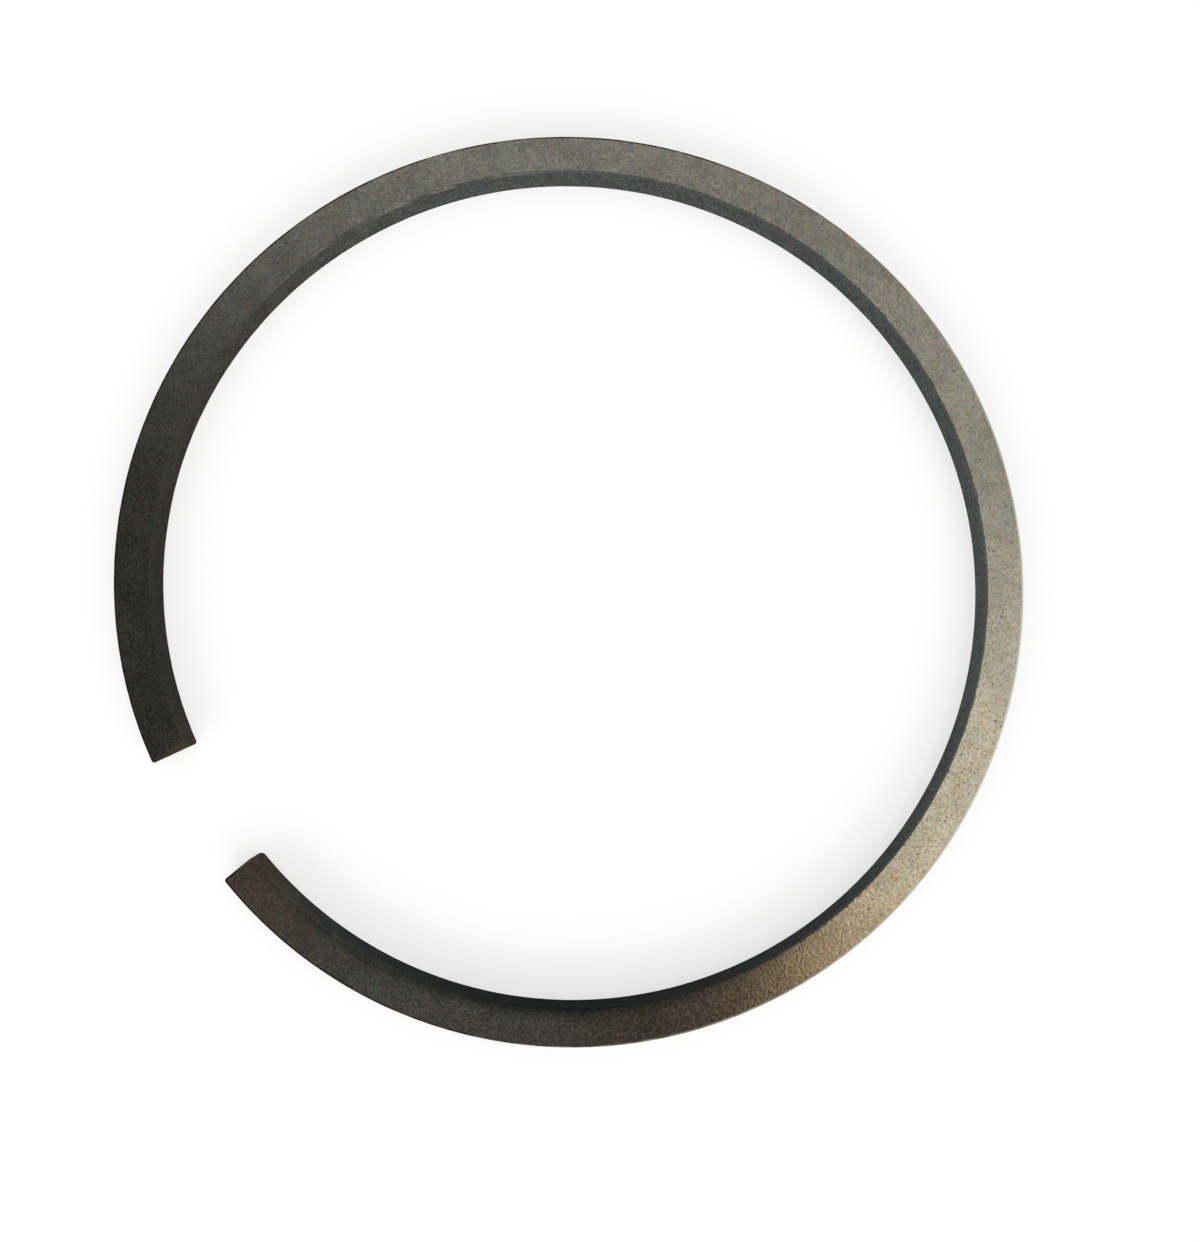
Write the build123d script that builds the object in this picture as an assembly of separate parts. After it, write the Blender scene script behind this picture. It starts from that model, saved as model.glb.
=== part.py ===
from build123d import *
import os
from math import cos, degrees, pi, sin

# Piston compression ring in its free state, as it lies on a bench. Sizes are in millimetres.
# It is one piece of cast iron: a rectangular section bent into an open hoop, with a plain butt joint.
# +Z is the ring's axis, and the lower side face lies on Z = 0. The back is at +Y and the open joint at -Y.

# The cylinder and the section that the ring is made to
bore_diameter = 76.2
radial_wall = 3.3
axial_height = 3.175

# The joint: how far the butt ends stand apart on the mean line, released and closed in the cylinder
free_gap = 11.6
closed_gap = 0.3

# The joint was cut a little off upright: how far the upper edge of each butt end stands out past its lower edge
left_overhang = 0.33
right_overhang = -0.12

# The free shape: the mean line opens by a share of its curvature, and by more at the back than at the ends
back_share = 0.51
arc_count = 17

# Edges: every outline edge is broken, and the corners of the butt ends are rounded by deburring
edge_break = 0.12
left_bore_corner = 0.22
left_running_corner = 0.25
right_bore_corner = 0.5
right_running_corner = 0.25

mean_radius = (bore_diameter - radial_wall) / 2
closed_angle = 2 * pi - closed_gap / mean_radius


def outward(heading):
    """Unit vector that points away from the bore, where heading is the angle from the back, clockwise from above."""
    return Vector(sin(heading), cos(heading))


def mean_line(opening):
    """Tangent arcs of the mean line from the left end to the right: centre, radius, first and last heading."""
    span = closed_angle / arc_count
    arcs = []
    heading = 0
    point = Vector(0, 0)
    for number in range(arc_count):
        place = (number + 0.5) * span - closed_angle / 2
        kept = 1 - opening * (1 + back_share * cos(place))
        radius = mean_radius / kept
        centre = point - radius * outward(heading)
        arcs.append((centre, radius, heading, heading + span * kept))
        heading += span * kept
        point = centre + radius * outward(heading)
    return arcs


def gap_of(arcs):
    """Distance between the two butt ends on the mean line."""
    first_centre, first_radius, first_heading, _ = arcs[0]
    last_centre, last_radius, _, last_heading = arcs[-1]
    left_end = first_centre + first_radius * outward(first_heading)
    right_end = last_centre + last_radius * outward(last_heading)
    return (right_end - left_end).length


def released_line():
    """The mean line whose ends stand free_gap apart, found by halving the range of the opening."""
    closest, widest = 0.0, 0.5
    for _ in range(50):
        opening = (closest + widest) / 2
        if gap_of(mean_line(opening)) < free_gap:
            closest = opening
        else:
            widest = opening
    return mean_line(opening)


def offset_arc(arc, offset):
    """One arc of the mean line, moved outward by offset."""
    centre, radius, first, last = arc
    start, middle, end = (
        centre + (radius + offset) * outward(heading) for heading in (first, (first + last) / 2, last)
    )
    return ThreePointArc(start, middle, end)


def lengthened(arcs, extra):
    """The same tangent arcs, with the first and the last one carried on by an extra length."""
    centre, radius, first, last = arcs[0]
    first_arc = (centre, radius, first - extra / radius, last)
    centre, radius, first, last = arcs[-1]
    last_arc = (centre, radius, first, last + extra / radius)
    return [first_arc, *arcs[1:-1], last_arc]


def plan_outline(arcs):
    """The ring seen along its axis: running side, right butt end, bore side and left butt end."""
    running_side = [offset_arc(arc, radial_wall / 2) for arc in arcs]
    bore_side = [offset_arc(arc, -radial_wall / 2) for arc in arcs]
    left_end = Line(bore_side[0] @ 0, running_side[0] @ 0)
    right_end = Line(running_side[-1] @ 1, bore_side[-1] @ 1)
    return Wire([*running_side, right_end, *bore_side, left_end])


def off_cut(arc, heading, side, overhang, extra):
    """What the cut takes off the blank at one butt end. Side is -1 for the left end and 1 for the right."""
    centre, radius, _, _ = arc
    across = outward(heading)
    onward = side * Vector(across.Y, -across.X)
    facing = axial_height * onward - overhang * Vector(0, 0, 1)
    cut = Plane(origin=centre + radius * across, x_dir=across, z_dir=facing)
    return cut * Box(2 * radial_wall, 4 * axial_height, 3 * extra, align=(Align.CENTER, Align.CENTER, Align.MIN))


def corner_edge(blank, arc, heading, offset):
    """The upright edge of the blank at a corner of a butt end."""
    centre, radius, _, _ = arc
    corner = centre + (radius + offset) * outward(heading)
    return blank.edges().sort_by_distance(corner + Vector(0, 0, axial_height / 2))[0]


def compression_ring():
    """The whole ring: a raised outline with its butt ends cut, their corners rounded and all edges broken."""
    arcs = released_line()
    turned = sum(last - first for _, _, first, last in arcs)
    extra = 2 * max(abs(left_overhang), abs(right_overhang)) + edge_break
    left_heading, right_heading = arcs[0][2], arcs[-1][3]
    ring = extrude(make_face(plan_outline(lengthened(arcs, extra))), axial_height)
    ring -= off_cut(arcs[0], left_heading, -1, left_overhang, extra)
    ring -= off_cut(arcs[-1], right_heading, 1, right_overhang, extra)
    corners = (
        (arcs[0], left_heading, -radial_wall / 2, left_bore_corner),
        (arcs[0], left_heading, radial_wall / 2, left_running_corner),
        (arcs[-1], right_heading, -radial_wall / 2, right_bore_corner),
        (arcs[-1], right_heading, radial_wall / 2, right_running_corner),
    )
    for arc, heading, offset, corner_radius in corners:
        ring = fillet(corner_edge(ring, arc, heading, offset), corner_radius)
    side_faces = ring.faces().filter_by(Axis.Z).sort_by(Axis.Z)
    outlines = side_faces[0].edges() + side_faces[-1].edges()
    ring = chamfer(outlines, edge_break)
    ring = Rot(0, 0, degrees(turned / 2)) * ring
    middle = ring.bounding_box().center()
    return Pos(-middle.X, -middle.Y, 0) * ring


os.makedirs("parts", exist_ok=True)
export_step(compression_ring(), "parts/compression_ring.step")
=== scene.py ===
"""A piston compression ring with its finish, on a pale studio floor.

Laid out as an add-on and run as a script.
"""

from math import cos, pi, radians, sin

import bpy
import numpy as np
from mathutils import Euler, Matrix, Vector


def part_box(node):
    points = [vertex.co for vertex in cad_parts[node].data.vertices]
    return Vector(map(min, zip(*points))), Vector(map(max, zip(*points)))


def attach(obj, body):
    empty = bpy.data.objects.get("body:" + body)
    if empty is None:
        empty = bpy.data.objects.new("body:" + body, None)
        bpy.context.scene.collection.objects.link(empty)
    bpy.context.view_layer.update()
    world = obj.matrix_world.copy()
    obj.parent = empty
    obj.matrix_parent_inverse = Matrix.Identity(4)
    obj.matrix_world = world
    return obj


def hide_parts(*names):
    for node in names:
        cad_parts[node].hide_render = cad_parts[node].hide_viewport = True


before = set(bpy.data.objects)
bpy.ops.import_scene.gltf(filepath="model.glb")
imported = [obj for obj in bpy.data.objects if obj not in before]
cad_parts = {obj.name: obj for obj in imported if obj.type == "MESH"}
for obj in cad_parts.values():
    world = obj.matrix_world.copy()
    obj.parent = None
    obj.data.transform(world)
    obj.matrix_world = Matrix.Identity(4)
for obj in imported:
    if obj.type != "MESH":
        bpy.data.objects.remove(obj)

bl_info = {
    "name": "Compression Ring",
    "version": (1, 0, 0),
    "blender": (4, 5, 0),
    "location": "View3D > Sidebar > Ring",
    "description": "Builds a piston compression ring in its free state, its finish and its studio",
    "category": "Object",
}

MM = 0.001
MICRON = 0.000001
NODE = "compression_ring"
BOX_LOW, BOX_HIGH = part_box(NODE)
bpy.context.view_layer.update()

WHITE = (1.0, 1.0, 1.0, 1.0)
WARM_LIGHT, PLAIN_LIGHT = (1.0, 0.95, 0.87), (1.0, 1.0, 1.0)

# The finishes that the mesh's faces take
FACE, BORE, RUNNING, BUTT = range(4)

# Stretches of the ring with a stain, coat or wear of their own, or with painted light or shade: the middle,
# as a share of the way from the left butt end to the right, the reach to either side of it, and the strength
STRETCHES = {
    "dried_oil": (0.66, 55 * MM, 1.0),
    "wider_creep": (0.88, 36 * MM, 0.1 * MM),
    "thinner_creep": (0.02, 30 * MM, 0.13 * MM),
    "pale_iron": (0.05, 34 * MM, 0.8),
    "sandy_back": (0.49, 45 * MM, 0.5),
    "sandy_right": (0.68, 34 * MM, 0.5),
    "pale_brown_end": (1.0, 13 * MM, 0.9),
    "tan_right": (0.78, 20 * MM, 0.9),
    "tan_end": (1.0, 12 * MM, 0.4),
    "brown_right": (0.82, 17 * MM, 0.9),
    # Stronger specks: partly grain, partly painted glints
    "specks_and_glints_right": (0.89, 42 * MM, 1.0),
    "specks_and_glints_left": (0.04, 50 * MM, 0.8),
    "rusty_specks": (0.67, 46 * MM, 0.75),
    # The side face darker towards the bore side
    "darker_inner_face": (0.875, 40 * MM, 0.9),
    # Painted highlight on the outer edge
    "outer_edge_painted_highlight": (0.63, 70 * MM, 1.0),
    # Painted highlight on the side faces' edges
    "rim_painted_highlight": (0.265, 21 * MM, 1.0),
    # Painted light on the bore side's coat
    "painted_light_coat": (0.65, 48 * MM, 1.0),
    # Painted shade on the bore side's coat
    "painted_shade_coat_right": (0.86, 48 * MM, 1.0),
    "painted_shade_coat_left": (0.06, 45 * MM, 0.75),
    "brown_coat": (0.12, 45 * MM, 1.0),
    "brown_coat_left_end": (0.0, 6 * MM, 0.6),
    "brown_coat_right_end": (1.0, 9 * MM, 0.85),
}

# The lamps as they stand in the picture, for 1 of height: middle and half size (across, up), and colour
LAMP_HEIGHT = 3.0
LAMPS = {
    "window": ((0.364, -0.138), (0.17, 0.13), WARM_LIGHT),
    "window_top": ((0.37, 0.06), (0.13, 0.07), WARM_LIGHT),
    "right_lamp": ((0.30, 0.255), (0.075, 0.125), PLAIN_LIGHT),
    "upper_lamp": ((0.0, 0.45), (0.225, 0.075), PLAIN_LIGHT),
    "left_lamp": ((-0.30, 0.375), (0.075, 0.15), PLAIN_LIGHT),
    "lower_lamp": ((-0.172, -0.28), (0.15, 0.08), PLAIN_LIGHT),
}

# Bearings in the picture, in degrees from its right, turning upwards
BRIGHT_HALF_BEARING = 60
SIDE_WINDOW_BEARING = 270


def length_size(name, description, default):
    """A size in metres that a user can change."""
    return bpy.props.FloatProperty(
        name=name, description=description, default=default, unit="LENGTH", subtype="DISTANCE"
    )


def share_size(name, description, default):
    """A share from 0 to 1 that a user can change."""
    return bpy.props.FloatProperty(
        name=name, description=description, default=default, min=0, max=1, subtype="FACTOR"
    )


def colour_size(name, description, default):
    """A colour that a user can change."""
    return bpy.props.FloatVectorProperty(
        name=name, description=description, default=default, size=3, min=0, max=1, subtype="COLOR"
    )


def light_strength(name, description, default):
    """A radiance that a user can change, where 1 shows as white."""
    return bpy.props.FloatProperty(name=name, description=description, default=default, min=0)


class RingSizes(bpy.types.PropertyGroup):
    """The section, the free shape and the edges."""

    bore: length_size("Bore", "Diameter of the cylinder that the ring is made for", 76.2 * MM)
    wall: length_size("Radial wall", "From the bore side to the running face", 3.3 * MM)
    height: length_size("Axial height", "From one side face to the other", BOX_HIGH.z - BOX_LOW.z)
    free_gap: length_size("Free gap", "Distance of the butt ends on the mean line, released", 11.6 * MM)
    closed_gap: length_size("Closed gap", "Distance of the butt ends in the cylinder", 0.3 * MM)
    left_overhang: length_size("Left overhang", "Of the left butt end's upper edge past its lower", 0.33 * MM)
    right_overhang: length_size("Right overhang", "The same of the right butt end", -0.12 * MM)
    back_share: share_size("Back share", "How much more the back opens than the ends do", 0.51)
    edge: length_size("Edge break", "Radius of the broken edges of the side faces", 0.12 * MM)
    edge_wander: share_size("Edge wander", "Share by which the edge break varies along the ring", 0.35)
    left_bore: length_size("Left bore corner", "Radius of the left butt end's inner corner", 0.22 * MM)
    left_running: length_size("Left running corner", "Radius of the left butt end's outer corner", 0.25 * MM)
    right_bore: length_size("Right bore corner", "Radius of the right butt end's inner corner", 0.5 * MM)
    right_running: length_size(
        "Right running corner", "Radius of the right butt end's outer corner", 0.25 * MM
    )


class RingFinish(bpy.types.PropertyGroup):
    """Colours and roughness of the phosphated iron."""

    cool_iron: colour_size("Cool iron", "The lapped side faces where they are cooler", (0.167, 0.168, 0.145))
    warm_iron: colour_size("Warm iron", "The lapped side faces where they are warmer", (0.179, 0.17, 0.143))
    sandy: colour_size("Sandy stain", "Thin dried oil", (0.19, 0.17, 0.128))
    tan: colour_size("Tan stain", "Thick dried oil", (0.25, 0.187, 0.109))
    brown: colour_size("Brown stain", "First rust", (0.20, 0.16, 0.128))
    pit: colour_size("Pit", "Dark brown floor of a pit", (0.04, 0.028, 0.016))
    bore_coat: colour_size("Bore coat", "Heavy coat on the turned bore side", (0.072, 0.077, 0.073))
    # Painted shade: the near-black coat that darkens the bore side towards both ends in place of shade
    painted_shade_coat: colour_size("Oily coat", "The same coat where oil has darkened it", (0.007, 0.01, 0.009))
    running: colour_size("Running face", "Turned outer face under its thin coat", (0.115, 0.11, 0.10))
    # Also the colour of the painted highlights on the side faces' edges
    bare: colour_size("Bare edge", "Iron that shows where an edge has rubbed", (0.30, 0.285, 0.25))
    face_roughness: share_size("Face roughness", "Of the lapped side faces", 0.205)
    wall_roughness: share_size("Bore roughness", "Of the coated bore side", 0.9)
    grain: length_size("Grain", "Size of a grain of the lapped phosphate", 0.19 * MM)


class StageSettings(bpy.types.PropertyGroup):
    """The camera, the floor, and how strong the room and each of its lamps are."""

    eye: bpy.props.FloatVectorProperty(
        name="Camera place", description="Where the camera stands over the ring",
        default=(10.15 * MM, -4.04 * MM, 110.86 * MM), size=3, unit="LENGTH", subtype="TRANSLATION",
    )
    aim: bpy.props.FloatVectorProperty(
        name="Camera turn", description="How the camera is turned from looking straight down",
        default=(radians(3.711), radians(-0.212), radians(57.826)), size=3, unit="ROTATION", subtype="EULER",
    )
    lens: bpy.props.FloatProperty(
        name="Lens", description="Focal length in millimetres on a 36 mm film", default=35.81, min=1
    )
    floor_colour: colour_size("Floor", "Colour of the pale floor", (0.5, 0.5, 0.5))
    floor_lift: light_strength("Floor lift", "What the eye sees added to the floor to make it white", 0.6)
    ceiling: light_strength("Ceiling", "Straight above and towards the picture's lower left", 0.105)
    bright_half: light_strength("Bright half", "More overhead, towards the picture's upper right", 0.71)
    side: light_strength("Side light", "From the sides of the room", 0.5)
    side_window: light_strength("Side window", "More from the side at the picture's bottom", 1.75)
    window: light_strength("Window", "Of the lamp that the brightest part of the ring mirrors", 3.4)
    window_top: light_strength("Window top", "Of its weaker upper part", 2.1)
    right_lamp: light_strength("Right lamp", "Of the lamp above the window", 1.07)
    upper_lamp: light_strength("Upper lamp", "Of the lamp at the top of the picture", 0.43)
    left_lamp: light_strength("Left lamp", "Of the weak lamp at the upper left", 0.215)
    lower_lamp: light_strength("Lower lamp", "Of the weak lamp at the lower left", 0.3)


def mean_line(sizes):
    """The free ring's mean line from the left butt end to the right: points, headings and arc lengths."""
    stations, halvings = 4001, 40
    radius = (sizes.bore - sizes.wall) / 2
    half = pi - sizes.closed_gap / (2 * radius)
    place = np.linspace(-half, half, stations)

    def opened(opening):
        heading = place * (1 - opening) - opening * sizes.back_share * np.sin(place)
        middle = (heading[1:] + heading[:-1]) / 2
        steps = np.stack([np.cos(middle), -np.sin(middle)], 1) * radius * (place[1] - place[0])
        return np.concatenate([np.zeros((1, 2)), np.cumsum(steps, 0)]), heading

    narrow, wide = 0.0, 0.5
    for _ in range(halvings):
        opening = (narrow + wide) / 2
        points, heading = opened(opening)
        if np.linalg.norm(points[-1] - points[0]) < sizes.free_gap:
            narrow = opening
        else:
            wide = opening
    back = points[:, 1].max() + sizes.wall / 2
    points -= [(points[0, 0] + points[-1, 0]) / 2, back - BOX_HIGH.y]
    return points, heading, (place + half) * radius


def bend(strip, line):
    """Carries places on the straightened ring (along, across, up) onto the free ring.

    Past its ends they go straight on.
    """
    points, heading, arc = line
    turned = np.interp(strip[:, 0], arc, heading)
    past = strip[:, 0] - np.clip(strip[:, 0], arc[0], arc[-1])
    x = np.interp(strip[:, 0], arc, points[:, 0]) + np.sin(turned) * strip[:, 1] + np.cos(turned) * past
    y = np.interp(strip[:, 0], arc, points[:, 1]) + np.cos(turned) * strip[:, 1] - np.sin(turned) * past
    return np.stack([x, y, strip[:, 2]], 1)


def lean_ends(strip, directions, sizes, length):
    """Leans both butt ends, over a short stretch of the ring, so that their upper edges stand out or back."""
    stretch = 2 * MM
    left = np.clip(1 - strip[:, 0] / stretch, 0, 1) * sizes.left_overhang / sizes.height
    right = np.clip(1 - (length - strip[:, 0]) / stretch, 0, 1) * sizes.right_overhang / sizes.height
    leaning, turned = strip.copy(), directions.copy()
    leaning[:, 0] += (right - left) * strip[:, 2]
    turned[:, 2] += (left - right) * directions[:, 0]
    return leaning, turned


def bend_directions(directions, places, line):
    """Turns directions on the straightened ring with the heading at their places."""
    _, heading, arc = line
    turned = np.interp(places, arc, heading)
    x = np.cos(turned) * directions[:, 0] + np.sin(turned) * directions[:, 1]
    y = -np.sin(turned) * directions[:, 0] + np.cos(turned) * directions[:, 1]
    return np.stack([x, y, directions[:, 2]], 1)


def smooth_noise(generator, positions, spacing):
    """Smooth random values from -1 to 1 along a line, with a knot at every spacing."""
    knots = np.arange(positions.min() - spacing, positions.max() + 2 * spacing, spacing)
    values = generator.uniform(-1, 1, len(knots))
    index = np.clip(np.searchsorted(knots, positions) - 1, 0, len(knots) - 2)
    share = (positions - knots[index]) / spacing
    share = share * share * (3 - 2 * share)
    return values[index] * (1 - share) + values[index + 1] * share


def rim_side(start_corner, end_corner, stations, length, across, corner_steps):
    """One long rim of the straightened ring, round both its upright corners: places and plan normals."""
    turn = np.linspace(pi / 2, 0, corner_steps)
    start_along = start_corner * (1 - np.sin(turn))
    start_in = start_corner * (1 - np.cos(turn))
    end_along = length - (end_corner * (1 - np.sin(turn)))[::-1]
    end_in = (end_corner * (1 - np.cos(turn)))[::-1]
    flat = np.zeros(len(stations))
    side = np.sign(across)
    along = np.concatenate([start_along, stations, end_along])
    inward = np.concatenate([start_in, flat, end_in])
    lean = np.concatenate([-np.sin(turn), flat, np.sin(turn)[::-1]])
    places = np.stack([along, side * (abs(across) - inward)], 1)
    return places, np.stack([lean, side * np.sqrt(1 - lean**2)], 1)


class Plan:
    """The straightened ring from above: rows from running side to bore side, and the rim round them."""

    stations_along = 900
    columns = 13
    corner_steps = 7

    def __init__(self, sizes, length):
        half = sizes.wall / 2
        corners = (sizes.left_bore, sizes.left_running, sizes.right_bore, sizes.right_running)
        clear = 2 * max(corners)
        stations = np.linspace(clear, length - clear, self.stations_along)
        running, running_normals = rim_side(
            sizes.left_running, sizes.right_running, stations, length, half, self.corner_steps
        )
        bore, bore_normals = rim_side(
            sizes.left_bore, sizes.right_bore, stations, length, -half, self.corner_steps
        )
        self.rows = len(running)
        last_row, last_column = self.rows - 1, self.columns - 1
        order = [(0, column) for column in range(last_column)]
        order += [(row, last_column) for row in range(last_row)]
        order += [(last_row, column) for column in range(last_column, 0, -1)]
        order += [(row, 0) for row in range(last_row, 0, -1)]
        self.rim_row, self.rim_column = np.array(order).T
        self.share = np.linspace(0, 1, self.columns)
        share = self.share[self.rim_column][:, None]
        self.rim = running[self.rim_row] * (1 - share) + bore[self.rim_row] * share
        self.normals = np.where(
            (self.rim_column == 0)[:, None], running_normals[self.rim_row], bore_normals[self.rim_row]
        )
        self.normals[self.rim_row == 0] = [-1, 0]
        self.normals[self.rim_row == last_row] = [1, 0]
        self.at_end = (self.rim_row < self.corner_steps) | (self.rim_row >= self.rows - self.corner_steps)
        self.smallest_corner = min(corners)

    def around(self):
        """Distance of each rim point round the rim."""
        return np.concatenate([[0], np.cumsum(np.linalg.norm(np.diff(self.rim, axis=0), axis=1))])


def edge_breaks(plan, sizes):
    """Radius of the broken edge at each rim point: it wanders, and it stays inside the sharpest corner."""
    generator = np.random.default_rng(7)
    around = plan.around()
    slow = smooth_noise(generator, around, 9 * MM)
    quick = smooth_noise(generator, around, 0.8 * MM)
    edge = sizes.edge * (1 + sizes.edge_wander * (0.6 * slow + 0.4 * quick))
    return np.where(plan.at_end, np.minimum(edge, 0.8 * plan.smallest_corner), edge)


def edge_level(plan, edge, turn, up, height):
    """One level of a broken edge, turned so far from its side face to the wall: places and normals."""
    inset, depth = edge * (1 - np.sin(turn)), edge * (1 - np.cos(turn))
    places = np.column_stack([plan.rim - plan.normals * inset[:, None], height - depth if up > 0 else depth])
    return places, np.column_stack([plan.normals * np.sin(turn), np.full(len(edge), up * np.cos(turn))])


def flat_face(plan, vertices, level, height):
    """The flat of a side face inside the rim at a level: its own vertices, and its quads from above."""
    index = np.zeros((plan.rows, plan.columns), int)
    index[plan.rim_row, plan.rim_column] = level * len(plan.rim) + np.arange(len(plan.rim))
    running, bore_side = vertices[index[1:-1, :1]], vertices[index[1:-1, -1:]]
    share = plan.share[1:-1, None]
    inner = running * (1 - share) + bore_side * share
    inner[:, :, 2] = height
    index[1:-1, 1:-1] = len(vertices) + np.arange(inner[:, :, 0].size).reshape(inner.shape[:2])
    quads = np.stack([index[:-1, :-1], index[:-1, 1:], index[1:, 1:], index[1:, :-1]], -1)
    return inner.reshape(-1, 3), quads.reshape(-1, 4)


def ring_surface(sizes, length):
    """Places and normals of every vertex on the straightened ring, the quads, and each quad's finish."""
    plan = Plan(sizes, length)
    edge_steps, wall_steps = 6, 7
    upper_edge, lower_edge = edge_breaks(plan, sizes), edge_breaks(plan, sizes)[::-1]
    turns = np.linspace(0, pi / 2, edge_steps)
    upper = [edge_level(plan, upper_edge, turn, 1, sizes.height) for turn in turns]
    lower = [edge_level(plan, lower_edge, turn, -1, sizes.height) for turn in turns[::-1]]
    wall = []
    for share in np.linspace(0, 1, wall_steps)[1:-1]:
        up = (sizes.height - upper_edge) * (1 - share) + lower_edge * share
        wall.append((np.column_stack([plan.rim, up]), np.column_stack([plan.normals, 0 * up])))
    levels, normals = zip(*upper, *wall, *lower)

    rim_count = len(plan.rim)
    quads, finish = [], []
    here = np.arange(rim_count)
    following = np.roll(here, -1)
    ends = (plan.rim_row == plan.rim_row[following]) & np.isin(plan.rim_row, (0, plan.rows - 1))
    bore = (plan.rim_column == plan.columns - 1) & (plan.rim_column[following] == plan.columns - 1)
    side = np.where(ends, BUTT, np.where(bore, BORE, RUNNING))
    for level in range(len(levels) - 1):
        above, below = level * rim_count, (level + 1) * rim_count
        quads.append(np.stack([below + here, below + following, above + following, above + here], 1))
        on_face = min(level, len(levels) - 2 - level) < edge_steps - 1
        finish.append(np.full(rim_count, FACE) if on_face else side)

    vertices, directions = np.concatenate(levels), np.concatenate(normals)
    for level, up, height in ((0, 1, sizes.height), (len(levels) - 1, -1, 0)):
        inner, cap = flat_face(plan, vertices, level, height)
        vertices = np.concatenate([vertices, inner])
        directions = np.concatenate([directions, np.tile([0, 0, up], (len(inner), 1))])
        quads.append(cap if up > 0 else cap[:, ::-1])
        finish.append(np.full(len(cap), FACE))
    return vertices, directions, np.concatenate(quads), np.concatenate(finish)


def ring_mesh(sizes):
    """The ring's mesh, which also holds each vertex's place on the straightened ring and edge distance."""
    line = mean_line(sizes)
    length = line[2][-1]
    strip, directions, quads, finish = ring_surface(sizes, length)
    leaning, directions = lean_ends(strip, directions, sizes, length)
    mesh = bpy.data.meshes.new("ring_finished")
    mesh.from_pydata(bend(leaning, line).tolist(), [], quads.tolist())
    mesh.polygons.foreach_set("use_smooth", np.ones(len(quads), bool))
    mesh.polygons.foreach_set("material_index", finish.astype(np.int32))
    normals = bend_directions(directions, leaning[:, 0], line)
    normals /= np.linalg.norm(normals, axis=1)[:, None]
    mesh.normals_split_custom_set_from_vertices(normals.tolist())
    to_edges = np.stack([
        np.minimum(strip[:, 0], length - strip[:, 0]),
        sizes.wall / 2 - abs(strip[:, 1]),
        np.minimum(strip[:, 2], sizes.height - strip[:, 2]),
    ], 1)
    place = mesh.attributes.new("strip", "FLOAT_VECTOR", "POINT")
    place.data.foreach_set("vector", strip.astype(np.float32).ravel())
    distance = mesh.attributes.new("edge_distance", "FLOAT", "POINT")
    distance.data.foreach_set("value", np.sort(to_edges, 1)[:, 1].astype(np.float32))
    mesh.validate()
    return mesh, length


class Wiring:
    """Adds nodes to one tree. A value is either an output socket, which is linked, or a constant."""

    def __init__(self, tree):
        self.tree = tree

    def node(self, kind, inputs, **settings):
        """A node with these settings, and with values for its inputs by name or number."""
        made = self.tree.nodes.new(kind)
        for key, value in settings.items():
            setattr(made, key, value)
        for key, value in inputs.items():
            if isinstance(value, bpy.types.NodeSocket):
                self.tree.links.new(value, made.inputs[key])
            else:
                made.inputs[key].default_value = value
        return made

    def math(self, operation, *values, clamp=False):
        inputs = dict(enumerate(values))
        return self.node("ShaderNodeMath", inputs, operation=operation, use_clamp=clamp).outputs[0]

    def times(self, first, second):
        return self.math("MULTIPLY", first, second)

    def larger(self, first, second):
        return self.math("MAXIMUM", first, second)

    def stretched(self, vector, scales):
        return self.node("ShaderNodeVectorMath", {0: vector, 1: scales}, operation="MULTIPLY").outputs[0]

    def dot(self, vector, other):
        inputs = {0: vector, 1: other}
        return self.node("ShaderNodeVectorMath", inputs, operation="DOT_PRODUCT").outputs["Value"]

    def blend(self, share, first, second):
        """Mix of two values."""
        return self.node("ShaderNodeMix", {0: share, 2: first, 3: second}, data_type="FLOAT").outputs[0]

    def noise(self, vector, scale, detail, roughness):
        """Noise of so many features to the metre."""
        inputs = {"Vector": vector, "Scale": scale, "Detail": detail, "Roughness": roughness}
        return self.node("ShaderNodeTexNoise", inputs, noise_dimensions="3D")

    def cells(self, vector, scale):
        return self.node("ShaderNodeTexVoronoi", {"Vector": vector, "Scale": scale}, feature="F1")

    def ramp(self, value, low, high, to_low=0.0, to_high=1.0):
        """Smooth step of a value from low to high."""
        inputs = {"Value": value, "From Min": low, "From Max": high, "To Min": to_low, "To Max": to_high}
        return self.node("ShaderNodeMapRange", inputs, interpolation_type="SMOOTHSTEP").outputs["Result"]

    def swing(self, value, reach, amount):
        """A factor from 1 - amount to 1 + amount, as a value goes from 0.5 - reach to 0.5 + reach."""
        return self.ramp(value, 0.5 - reach, 0.5 + reach, 1 - amount, 1 + amount)

    def mix(self, share, first, second, blend="MIX"):
        """Colour mix. Sockets 0, 6 and 7 are its factor and its two colours."""
        inputs = {0: share, 6: first, 7: second}
        return self.node("ShaderNodeMix", inputs, data_type="RGBA", blend_type=blend).outputs[2]

    def multiplied(self, colour, factor):
        """A colour multiplied by another colour or by a value."""
        return self.mix(1.0, colour, factor, "MULTIPLY")

    def group(self, tree, inputs):
        return self.node("ShaderNodeGroup", inputs, node_tree=tree).outputs


def effect(name, inputs, outputs):
    """An empty shader node group with these input and output sockets, ready for wiring."""
    tree = bpy.data.node_groups.new(name, "ShaderNodeTree")
    for label, kind in inputs.items():
        tree.interface.new_socket(label, in_out="INPUT", socket_type=kind)
    for label, kind in outputs.items():
        tree.interface.new_socket(label, in_out="OUTPUT", socket_type=kind)
    wiring = Wiring(tree)
    return wiring, wiring.node("NodeGroupInput", {}).outputs


def close_effect(wiring, results):
    """Links the results to the group's outputs and returns its tree."""
    wiring.node("NodeGroupOutput", results)
    return wiring.tree


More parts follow.
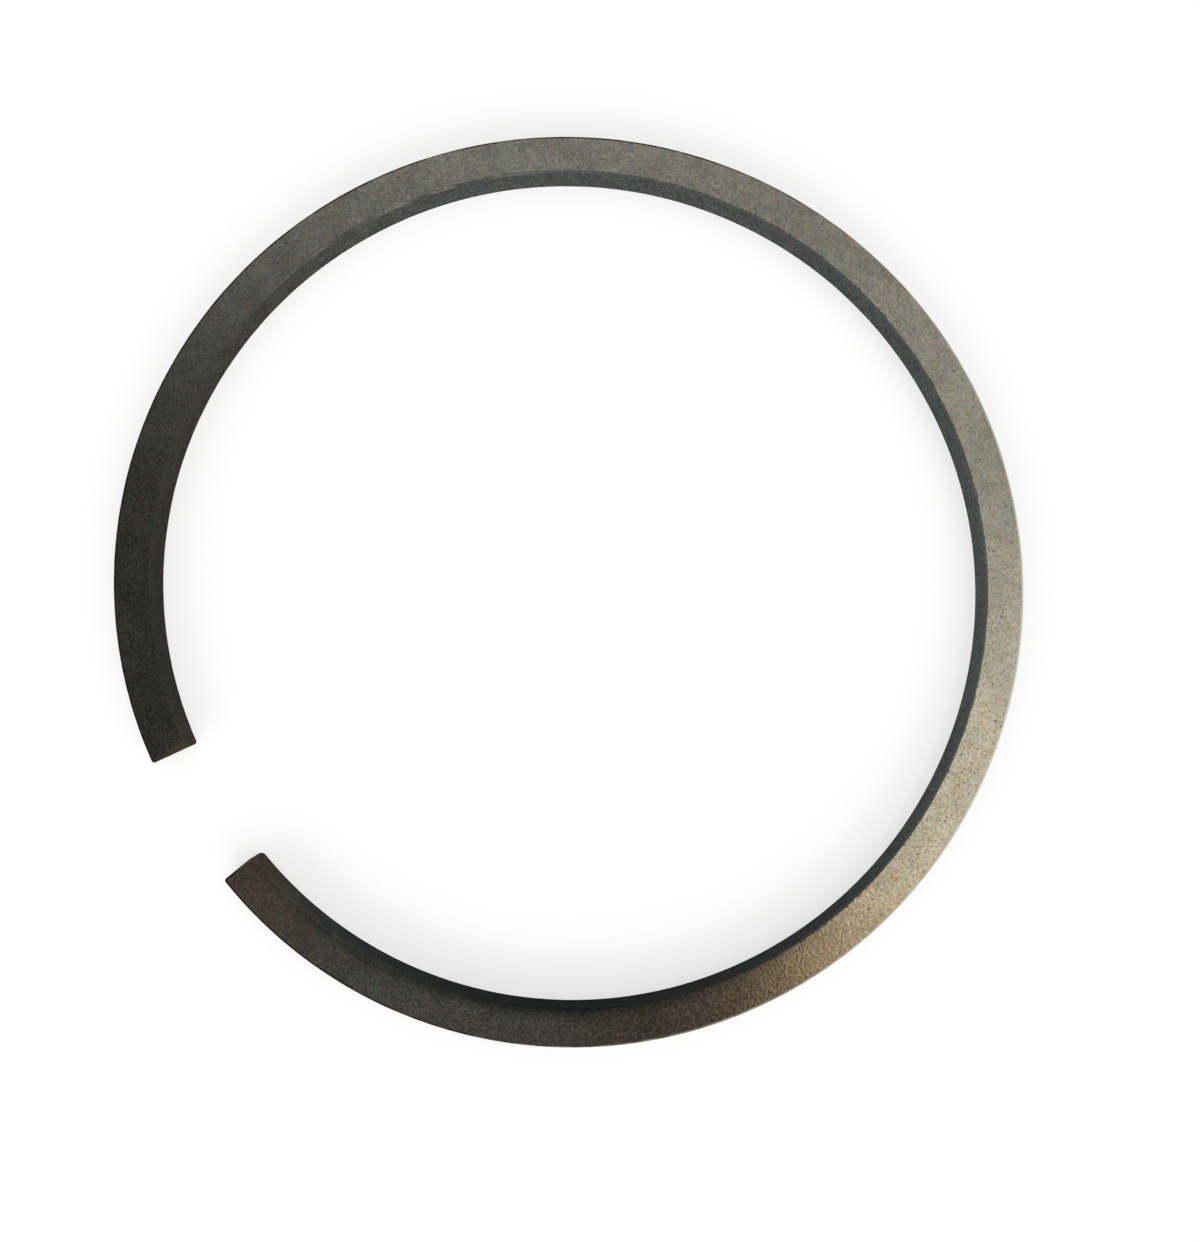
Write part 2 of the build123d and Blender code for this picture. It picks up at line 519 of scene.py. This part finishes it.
def grain_effect():
    """Lapped phosphate: soft dark and light grains of several sizes, their faint colours and their relief."""
    wiring, given = effect(
        "Lapped Grain",
        {"Place": "NodeSocketVector", "Grain": "NodeSocketFloat", "Colourful": "NodeSocketFloat"},
        {
            "Tone": "NodeSocketFloat", "Speck": "NodeSocketFloat",
            "Tint": "NodeSocketColor", "Height": "NodeSocketFloat",
        },
    )
    scale = wiring.math("DIVIDE", 1.0, given["Grain"])
    patches = wiring.noise(given["Place"], wiring.times(scale, 0.25), 3.0, 0.8).outputs["Fac"]
    crystals = wiring.noise(given["Place"], wiring.times(scale, 0.95), 1.0, 0.6).outputs["Fac"]
    tone = wiring.math("ADD", wiring.times(patches, 0.4), wiring.times(crystals, 0.6))
    specks = wiring.noise(given["Place"], wiring.times(scale, 0.85), 2.0, 0.55).outputs["Fac"]
    colours = wiring.noise(given["Place"], wiring.times(scale, 0.5), 2.0, 0.6).outputs["Color"]
    tint = wiring.mix(given["Colourful"], (0.5, 0.5, 0.5, 1.0), colours)
    tint = wiring.multiplied(tint, (2.0, 2.0, 2.0, 1.0))
    relief = wiring.noise(given["Place"], wiring.times(scale, 0.65), 1.0, 0.5).outputs["Fac"]
    return close_effect(wiring, {"Tone": tone, "Speck": specks, "Tint": tint, "Height": relief})


def cloud_effect():
    """Large soft patches, and a second set of them for the drift between warm and cool."""
    wiring, given = effect(
        "Tarnish Clouds",
        {"Place": "NodeSocketVector", "Size": "NodeSocketFloat"},
        {"Patch": "NodeSocketFloat", "Drift": "NodeSocketFloat"},
    )
    scale = wiring.math("DIVIDE", 1.0, given["Size"])
    patch = wiring.noise(given["Place"], scale, 4.0, 0.6).outputs["Fac"]
    drift = wiring.noise(given["Place"], wiring.times(scale, 2.3), 2.0, 0.5).outputs["Fac"]
    return close_effect(
        wiring, {"Patch": wiring.ramp(patch, 0.3, 0.7), "Drift": wiring.ramp(drift, 0.3, 0.7)}
    )


def pit_effect():
    """Small scattered pits: one in some of the cells, each with its own size."""
    wiring, given = effect(
        "Pits",
        {"Place": "NodeSocketVector", "Spacing": "NodeSocketFloat", "Share": "NodeSocketFloat"},
        {"Mask": "NodeSocketFloat"},
    )
    cell = wiring.cells(given["Place"], wiring.math("DIVIDE", 1.0, given["Spacing"]))
    random = wiring.node("ShaderNodeSeparateColor", {0: cell.outputs["Color"]}).outputs
    present = wiring.math("LESS_THAN", random[0], given["Share"])
    reach = wiring.ramp(random[1], 0.0, 1.0, 0.07, 0.17)
    near = wiring.math("DIVIDE", cell.outputs["Distance"], reach)
    mask = wiring.times(present, wiring.ramp(near, 1.0, 0.4))
    return close_effect(wiring, {"Mask": mask})


def rim_effect():
    """A thin ragged band along an edge, and the broken parts of it that show bare iron: wear, and along one
    stretch of the side faces' edges a painted highlight.
    """
    wiring, given = effect(
        "Ragged Rim",
        {"Place": "NodeSocketVector", "Edge Distance": "NodeSocketFloat", "Width": "NodeSocketFloat"},
        {"Band": "NodeSocketFloat", "Wear And Highlight": "NodeSocketFloat"},
    )
    ragged = wiring.noise(given["Place"], 2600.0, 3.0, 0.7).outputs["Fac"]
    patchy = wiring.noise(given["Place"], 260.0, 2.0, 0.5).outputs["Fac"]
    reach = wiring.times(given["Width"], wiring.swing(ragged, 0.17, 0.7))
    band = wiring.ramp(wiring.math("DIVIDE", given["Edge Distance"], reach), 1.0, 0.6)
    rubbed = wiring.times(band, wiring.ramp(patchy, 0.4, 0.62))
    return close_effect(wiring, {"Band": band, "Wear And Highlight": rubbed})


def turning_effect():
    """Tool marks that run along the ring: fine lines stacked up the wall, and their relief."""
    wiring, given = effect(
        "Turning Marks",
        {"Strip": "NodeSocketVector", "Pitch": "NodeSocketFloat"},
        {"Tone": "NodeSocketFloat", "Height": "NodeSocketFloat"},
    )
    drawn = wiring.stretched(given["Strip"], (0.02, 0.02, 1.0))
    scale = wiring.math("DIVIDE", 1.0, given["Pitch"])
    lines = wiring.noise(drawn, scale, 2.0, 0.7).outputs["Fac"]
    bands = wiring.noise(drawn, wiring.times(scale, 0.25), 2.0, 0.5).outputs["Fac"]
    tone = wiring.math("ADD", wiring.times(lines, 0.5), wiring.times(bands, 0.5))
    return close_effect(wiring, {"Tone": tone, "Height": lines})


def stain_effect():
    """A stain that is strongest at one place along the ring and fades out to both sides."""
    wiring, given = effect(
        "Stain",
        {"Strip": "NodeSocketVector", "Along": "NodeSocketFloat", "Spread": "NodeSocketFloat"},
        {"Mask": "NodeSocketFloat"},
    )
    along = wiring.node("ShaderNodeSeparateXYZ", {0: given["Strip"]}).outputs[0]
    away = wiring.math("ABSOLUTE", wiring.math("SUBTRACT", along, given["Along"]))
    cloud = wiring.noise(given["Strip"], 700.0, 4.0, 0.65).outputs["Fac"]
    reach = wiring.times(given["Spread"], wiring.swing(cloud, 0.2, 0.2))
    return close_effect(wiring, {"Mask": wiring.ramp(wiring.math("DIVIDE", away, reach), 1.0, 0.0)})


def fresh_wiring(owner):
    """The wiring of a material's or a world's emptied tree."""
    owner.use_nodes = True
    owner.node_tree.nodes.clear()
    return Wiring(owner.node_tree)


def begin_material(name):
    """A new material and its wiring."""
    material = bpy.data.materials.new(name)
    return material, fresh_wiring(material)


def strip_place(wiring):
    """Where the mesh says that a point lies on the straightened ring: along, across and up."""
    return wiring.node("ShaderNodeAttribute", {}, attribute_name="strip").outputs["Vector"]


def edge_distance(wiring):
    """How far the mesh says that a point lies from the nearest edge."""
    return wiring.node("ShaderNodeAttribute", {}, attribute_name="edge_distance").outputs["Fac"]


def end_material(wiring, colour, roughness, metallic, height, relief, specular=0.5):
    """Gives the material its Principled shader, with relief as the height of the bump in metres."""
    bump = wiring.node("ShaderNodeBump", {"Strength": 1.0, "Distance": relief, "Height": height})
    inputs = {
        "Base Color": colour, "Roughness": roughness, "Metallic": metallic,
        "Specular IOR Level": specular, "Normal": bump.outputs[0],
    }
    shader = wiring.node("ShaderNodeBsdfPrincipled", inputs)
    wiring.node("ShaderNodeOutputMaterial", {"Surface": shader.outputs[0]})


def shade(colour, factor=1.0):
    """A colour as a socket takes it, made lighter or darker."""
    return (*(channel * factor for channel in colour), 1.0)


def stretch_masks(wiring, strip, effects, length):
    """A function that gives the soft-ended mask of a named stretch of the ring."""

    def part(name):
        middle, reach, strength = STRETCHES[name]
        place = {"Strip": strip, "Along": middle * length, "Spread": reach}
        return wiring.times(wiring.group(effects["stain"], place)["Mask"], strength)

    return part


def wall_coat(wiring, part, finish, browning):
    """The heavy coat's colour: blue-grey, paler in one stretch as painted light, near-black towards both ends
    as painted shade, and brown at them.
    """
    # Painted light: the coat is paler along one stretch, in place of light that the lamps don't give there
    coat = wiring.mix(part("painted_light_coat"), shade(finish.bore_coat), shade(finish.bore_coat, 1.33))
    # Painted shade: near-black coat towards both ends, in place of shade on the bore side there
    dark = wiring.larger(part("painted_shade_coat_right"), part("painted_shade_coat_left"))
    coat = wiring.mix(dark, coat, shade(finish.painted_shade_coat))
    at_ends = wiring.larger(part("brown_coat_left_end"), part("brown_coat_right_end"))
    brown = wiring.larger(wiring.times(part("brown_coat"), browning), at_ends)
    return wiring.mix(brown, coat, shade(finish.tan, 0.25))


def face_material(finish, effects, length):
    """Lapped side faces: dull metal with dark grain, cloudy tarnish, tan and brown stains and small pits."""
    material, wiring = begin_material("lapped_side_face")
    strip, distance = strip_place(wiring), edge_distance(wiring)
    part = stretch_masks(wiring, strip, effects, length)
    dried = part("dried_oil")
    colourful = wiring.blend(dried, 0.34, 0.16)
    grain = wiring.group(effects["grain"], {"Place": strip, "Grain": finish.grain, "Colourful": colourful})
    clouds = wiring.group(effects["clouds"], {"Place": strip, "Size": 2.5 * MM})
    pits = wiring.group(effects["pits"], {"Place": strip, "Spacing": 0.9 * MM, "Share": 0.7})
    creep = wiring.math("ADD", 0.2 * MM, part("wider_creep"))
    creep = wiring.math("SUBTRACT", creep, part("thinner_creep"))
    rim = wiring.group(effects["rim"], {"Place": strip, "Edge Distance": distance, "Width": creep})
    along, across, _ = wiring.node("ShaderNodeSeparateXYZ", {0: strip}).outputs

    # The metal: its stains, its grain with painted glints in two dark stretches, and its pits
    metal = wiring.mix(clouds["Drift"], shade(finish.cool_iron), shade(finish.warm_iron))
    metal = wiring.mix(part("pale_iron"), metal, shade(finish.cool_iron, 1.17))
    sandy = wiring.larger(part("sandy_back"), part("sandy_right"))
    metal = wiring.mix(sandy, metal, shade(finish.sandy))
    metal = wiring.mix(part("pale_brown_end"), metal, shade(finish.brown, 1.6))
    tan = wiring.larger(part("tan_right"), part("tan_end"))
    metal = wiring.mix(tan, metal, shade(finish.tan))
    brown = wiring.times(part("brown_right"), wiring.ramp(clouds["Drift"], 0.0, 1.0, 0.4, 1.0))
    metal = wiring.mix(brown, metal, shade(finish.brown))
    faint = wiring.swing(grain["Tone"], 0.3, 0.17)
    strong = wiring.swing(grain["Tone"], 0.3, 0.4)
    # In two dark stretches the specks are stronger: partly grain mottling, partly painted glints
    specks = wiring.swing(grain["Speck"], 0.3, 0.54)
    specks_and_glints = wiring.larger(part("specks_and_glints_right"), part("specks_and_glints_left"))
    light = wiring.blend(specks_and_glints, wiring.blend(dried, strong, faint), specks)
    light = wiring.times(light, wiring.swing(clouds["Patch"], 0.5, 0.08))
    metal = wiring.multiplied(metal, grain["Tint"])
    metal = wiring.multiplied(metal, light)
    browner, bluer = (1.13, 0.99, 0.82, 1.0), (0.88, 1.01, 1.17, 1.0)
    browned = wiring.mix(wiring.ramp(grain["Tone"], 0.35, 0.65), browner, bluer)
    metal = wiring.mix(dried, metal, wiring.multiplied(metal, browned))
    rusty = wiring.times(wiring.ramp(grain["Speck"], 0.58, 0.68), part("rusty_specks"))
    spots = wiring.larger(wiring.times(pits["Mask"], 0.75), rusty)
    metal = wiring.mix(spots, metal, shade(finish.pit))
    # Darker and bluer towards the bore side near the right end
    oil = wiring.times(wiring.ramp(across, -0.3 * MM, -1.5 * MM), part("darker_inner_face"))
    oil = wiring.times(oil, wiring.ramp(grain["Tone"], 0.3, 0.7, 1.0, 0.6))
    metal = wiring.mix(oil, metal, shade(finish.bore_coat, 0.5))

    # Its edges: the wall's coat creeps over the inner one, and the outer one has a painted dark shade line
    # but for a stretch with a painted highlight
    edge = wiring.ramp(distance, 0.19 * MM, 0.165 * MM)
    bore_side = wiring.math("LESS_THAN", across, 0.0)
    coated = wiring.times(wiring.larger(edge, rim["Band"]), bore_side)
    coat = wall_coat(wiring, part, finish, browning=0.17)
    colour = wiring.mix(coated, metal, wiring.multiplied(coat, light))
    # Painted shade along the outer edge in pit colour, and a painted highlight in bright bare iron where the
    # face beside it mirrors the window
    outer_edge = wiring.mix(part("outer_edge_painted_highlight"), shade(finish.pit, 0.6), shade(finish.bare, 2.0))
    painted_outer_edge = wiring.times(edge, wiring.math("SUBTRACT", 1.0, bore_side))
    colour = wiring.mix(painted_outer_edge, colour, outer_edge)

    # Rust on the left end, which spreads from the bore side's corner
    spread = wiring.ramp(across, 1.0 * MM, -1.65 * MM, 0.35 * MM, 1.45 * MM)
    spread = wiring.times(spread, wiring.swing(grain["Tone"], 0.15, 0.6))
    rust = wiring.ramp(wiring.math("DIVIDE", along, spread), 1.0, 0.0)
    rust = wiring.times(rust, wiring.ramp(across, 1.5 * MM, 0.8 * MM, 0.3, 1.0))
    colour = wiring.mix(wiring.ramp(rust, 0.0, 0.4), colour, shade(finish.tan, 0.24))
    # Painted highlight: bare iron on the broken edges along one stretch, where the rounded edge would catch
    # the window's light
    rubbed = wiring.times(rim["Wear And Highlight"], part("rim_painted_highlight"))
    colour = wiring.mix(rubbed, colour, shade(finish.bare))
    covered = wiring.larger(wiring.ramp(coated, 0.5, 1.0), rust)
    metallic = wiring.math("SUBTRACT", 1.0, wiring.math("SUBTRACT", covered, rubbed, clamp=True))

    rough, smooth = finish.face_roughness + 0.05, finish.face_roughness - 0.05
    roughness = wiring.ramp(grain["Height"], 0.2, 0.8, smooth, rough)
    roughness = wiring.blend(wiring.larger(edge, covered), roughness, 0.75)
    roughness = wiring.blend(painted_outer_edge, roughness, 0.45)
    height = wiring.math("SUBTRACT", grain["Height"], wiring.times(pits["Mask"], 0.3))
    end_material(wiring, colour, roughness, metallic, height, 7 * MICRON, 0.12)
    return material


def wall_colour(wiring, strip, effects, coat, grain_size, upright, colourful, marked):
    """A coat broken up by its grain, by tool marks along the ring and by clouds, and the relief of them."""
    drawn = wiring.stretched(strip, (1.0, 1.0, 1.0 / upright))
    grain = wiring.group(effects["grain"], {"Place": drawn, "Grain": grain_size, "Colourful": colourful})
    marks = wiring.group(effects["turning"], {"Strip": strip, "Pitch": 0.12 * MM})
    clouds = wiring.group(effects["clouds"], {"Place": strip, "Size": 3 * MM})
    tone = wiring.blend(marked, grain["Speck"], marks["Tone"])
    light = wiring.swing(tone, 0.25, 0.5)
    light = wiring.times(light, wiring.swing(clouds["Patch"], 0.5, 0.08))
    colour = wiring.multiplied(wiring.multiplied(coat, grain["Tint"]), light)
    height = wiring.math("ADD", wiring.times(marks["Height"], 0.3), grain["Height"])
    return colour, height


def bore_material(finish, effects, length):
    """Bore side under its dull heavy coat."""
    material, wiring = begin_material("coated_bore_side")
    strip = strip_place(wiring)
    coat = wall_coat(wiring, stretch_masks(wiring, strip, effects, length), finish, browning=0.42)
    colour, height = wall_colour(
        wiring, strip, effects, coat, 0.85 * finish.grain, upright=1.8, colourful=0.6, marked=0.2
    )
    end_material(wiring, colour, finish.wall_roughness, 0.0, height, 20 * MICRON, 0.07)
    return material


def running_material(finish, effects):
    """Running face: fine turned iron under a thin coat, rubbed bare at its edges."""
    material, wiring = begin_material("turned_running_face")
    strip, distance = strip_place(wiring), edge_distance(wiring)
    rim = wiring.group(effects["rim"], {"Place": strip, "Edge Distance": distance, "Width": 0.09 * MM})
    coated, height = wall_colour(
        wiring, strip, effects, shade(finish.running), finish.grain, upright=1.0, colourful=0.2, marked=0.6
    )
    colour = wiring.mix(rim["Wear And Highlight"], coated, shade(finish.bare))
    end_material(wiring, colour, finish.face_roughness + 0.08, 0.9, height, 20 * MICRON)
    return material


def butt_material(finish, effects):
    """Cut butt ends: ground across, with a tan bloom of rust."""
    material, wiring = begin_material("cut_butt_end")
    strip, distance = strip_place(wiring), edge_distance(wiring)
    grain = wiring.group(effects["grain"], {"Place": strip, "Grain": finish.grain, "Colourful": 0.26})
    rim = wiring.group(effects["rim"], {"Place": strip, "Edge Distance": distance, "Width": 0.1 * MM})
    across = wiring.stretched(strip, (1.0, 0.05, 1.0))
    lines = wiring.noise(across, 9000.0, 2.0, 0.6).outputs["Fac"]
    tone = wiring.math("ADD", wiring.times(grain["Tone"], 0.6), wiring.times(lines, 0.4))
    rust = wiring.mix(wiring.ramp(tone, 0.3, 0.7), shade(finish.tan, 0.15), shade(finish.tan, 0.4))
    colour = wiring.mix(wiring.times(rim["Wear And Highlight"], 0.2), rust, shade(finish.bare))
    height = wiring.math("ADD", lines, wiring.times(grain["Height"], 0.6))
    end_material(wiring, colour, finish.face_roughness + 0.45, 0.2, height, 10 * MICRON, 0.2)
    return material


class RING_OT_build_part(bpy.types.Operator):
    """Build the ring with its edges and its finish"""

    bl_idname = "ring.build_part"
    bl_label = "Build Ring"

    def execute(self, context):
        sizes, finish = context.scene.ring_sizes, context.scene.ring_finish
        mesh, length = ring_mesh(sizes)
        effects = {
            "grain": grain_effect(), "clouds": cloud_effect(), "pits": pit_effect(),
            "rim": rim_effect(), "turning": turning_effect(), "stain": stain_effect(),
        }
        mesh.materials.append(face_material(finish, effects, length))
        mesh.materials.append(bore_material(finish, effects, length))
        mesh.materials.append(running_material(finish, effects))
        mesh.materials.append(butt_material(finish, effects))
        ring = bpy.data.objects.new("ring_finished", mesh)
        context.scene.collection.objects.link(ring)
        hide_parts(NODE)
        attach(ring, "root")
        return {"FINISHED"}


def picture_direction(settings, bearing):
    """Level unit vector at a bearing in degrees as seen in the picture, from its right, turning upwards."""
    turn = settings.aim[2] + radians(bearing)
    return Vector((cos(turn), sin(turn), 0))


def soft_box(settings, name):
    """A far rectangular lamp of even radiance, which is set by the setting of the lamp's own name."""
    (across, up), (half_width, half_height), colour = LAMPS[name]
    place = picture_direction(settings, 0) * across + picture_direction(settings, 90) * up + Vector((0, 0, 1))
    light = bpy.data.lights.new(name, "AREA")
    light.shape = "RECTANGLE"
    light.size, light.size_y = 2 * half_width * LAMP_HEIGHT, 2 * half_height * LAMP_HEIGHT
    light.energy = getattr(settings, name) * pi * light.size * light.size_y
    light.color = colour
    lamp = bpy.data.objects.new(name, light)
    lamp.location = place * LAMP_HEIGHT
    lamp.rotation_euler = Euler((0, 0, settings.aim[2]))
    bpy.context.scene.collection.objects.link(lamp)


def seen_directly(wiring):
    """1 for a ray from the camera, or one that a gloss or a glass sends on, and 0 for any other."""
    rays = wiring.node("ShaderNodeLightPath", {}).outputs
    shown = wiring.math("ADD", rays["Is Camera Ray"], rays["Is Glossy Ray"])
    return wiring.math("ADD", shown, rays["Is Transmission Ray"], clamp=True)


def build_world(settings):
    """A pale room: its ceiling is brighter at the picture's upper right, and a side window is at its bottom.

    Seen directly, its lower part is plain white.
    """
    world = bpy.data.worlds.new("studio")
    wiring = fresh_wiring(world)
    direction = wiring.node("ShaderNodeTexCoord", {}).outputs["Generated"]
    height = wiring.node("ShaderNodeSeparateXYZ", {0: direction}).outputs[2]
    to_bright_half = wiring.dot(direction, picture_direction(settings, BRIGHT_HALF_BEARING))
    to_window = wiring.dot(direction, picture_direction(settings, SIDE_WINDOW_BEARING))
    brightest_ceiling = settings.ceiling + settings.bright_half
    brightest_side = settings.side + settings.side_window
    ceiling = wiring.ramp(to_bright_half, 0.0, 0.38, settings.ceiling, brightest_ceiling)
    side = wiring.ramp(to_window, -0.3, 0.8, settings.side, brightest_side)
    room = wiring.blend(wiring.ramp(height, 0.6, 0.85), side, ceiling)
    strength = wiring.blend(wiring.ramp(height, 0.1, 0.2), 1.0, room)
    backdrop = wiring.times(seen_directly(wiring), wiring.ramp(height, 0.5, 0.42))
    strength = wiring.blend(backdrop, strength, 1.0)
    light = wiring.node("ShaderNodeBackground", {"Color": WHITE, "Strength": strength})
    wiring.node("ShaderNodeOutputWorld", {"Surface": light.outputs[0]})
    bpy.context.scene.world = world


def floor_material(settings):
    """Pale and matt. Seen directly, it is lifted to white round the ring's shadow and plain white far off."""
    material, wiring = begin_material("studio_floor")
    seen = seen_directly(wiring)
    inputs = {"Base Color": shade(settings.floor_colour), "Roughness": 0.9, "Specular IOR Level": 0.0}
    matt = wiring.node("ShaderNodeBsdfPrincipled", inputs).outputs[0]
    strength = wiring.times(seen, settings.floor_lift)
    lift = wiring.node("ShaderNodeEmission", {"Color": WHITE, "Strength": strength})
    lifted = wiring.node("ShaderNodeAddShader", {0: matt, 1: lift.outputs[0]}).outputs[0]
    plain = wiring.node("ShaderNodeEmission", {"Color": WHITE, "Strength": 1.0}).outputs[0]
    place = wiring.node("ShaderNodeNewGeometry", {}).outputs["Position"]
    distance = wiring.node("ShaderNodeVectorMath", {0: place}, operation="LENGTH").outputs["Value"]
    far = wiring.times(seen, wiring.ramp(distance, 70 * MM, 200 * MM))
    surface = wiring.node("ShaderNodeMixShader", {0: far, 1: lifted, 2: plain})
    wiring.node("ShaderNodeOutputMaterial", {"Surface": surface.outputs[0]})
    return material


class RING_OT_build_stage(bpy.types.Operator):
    """Build the floor, the light and the camera"""

    bl_idname = "ring.build_stage"
    bl_label = "Build Studio"

    def execute(self, context):
        scene, settings = context.scene, context.scene.ring_stage
        scene.view_settings.view_transform = "Standard"
        build_world(settings)
        reach = 3.0
        mesh = bpy.data.meshes.new("studio_floor")
        corners = [(-reach, -reach, 0), (reach, -reach, 0), (reach, reach, 0), (-reach, reach, 0)]
        mesh.from_pydata(corners, [], [(0, 1, 2, 3)])
        mesh.materials.append(floor_material(settings))
        floor = bpy.data.objects.new("studio_floor", mesh)
        scene.collection.objects.link(floor)
        for name in LAMPS:
            soft_box(settings, name)
        camera_data = bpy.data.cameras.new("picture_camera")
        camera_data.lens = settings.lens
        camera_data.sensor_width = 36
        camera_data.clip_start, camera_data.clip_end = 1 * MM, 10
        camera = bpy.data.objects.new("picture_camera", camera_data)
        camera.location = settings.eye
        camera.rotation_euler = settings.aim
        scene.collection.objects.link(camera)
        scene.camera = camera
        return {"FINISHED"}


class RING_PT_panel(bpy.types.Panel):
    """The ring's sizes, finish and studio"""

    bl_idname = "RING_PT_panel"
    bl_label = "Compression Ring"
    bl_space_type = "VIEW_3D"
    bl_region_type = "UI"
    bl_category = "Ring"

    def draw(self, context):
        for group in (context.scene.ring_sizes, context.scene.ring_finish, context.scene.ring_stage):
            box = self.layout.box()
            for key in group.__annotations__:
                box.prop(group, key)
        self.layout.operator(RING_OT_build_part.bl_idname)
        self.layout.operator(RING_OT_build_stage.bl_idname)


CLASSES = (RingSizes, RingFinish, StageSettings, RING_OT_build_part, RING_OT_build_stage, RING_PT_panel)


def register():
    for cls in CLASSES:
        bpy.utils.register_class(cls)
    bpy.types.Scene.ring_sizes = bpy.props.PointerProperty(type=RingSizes)
    bpy.types.Scene.ring_finish = bpy.props.PointerProperty(type=RingFinish)
    bpy.types.Scene.ring_stage = bpy.props.PointerProperty(type=StageSettings)


def unregister():
    del bpy.types.Scene.ring_stage
    del bpy.types.Scene.ring_finish
    del bpy.types.Scene.ring_sizes
    for cls in reversed(CLASSES):
        bpy.utils.unregister_class(cls)


def main():
    register()
    bpy.ops.ring.build_part()
    bpy.ops.ring.build_stage()


if __name__ == "__main__":
    main()
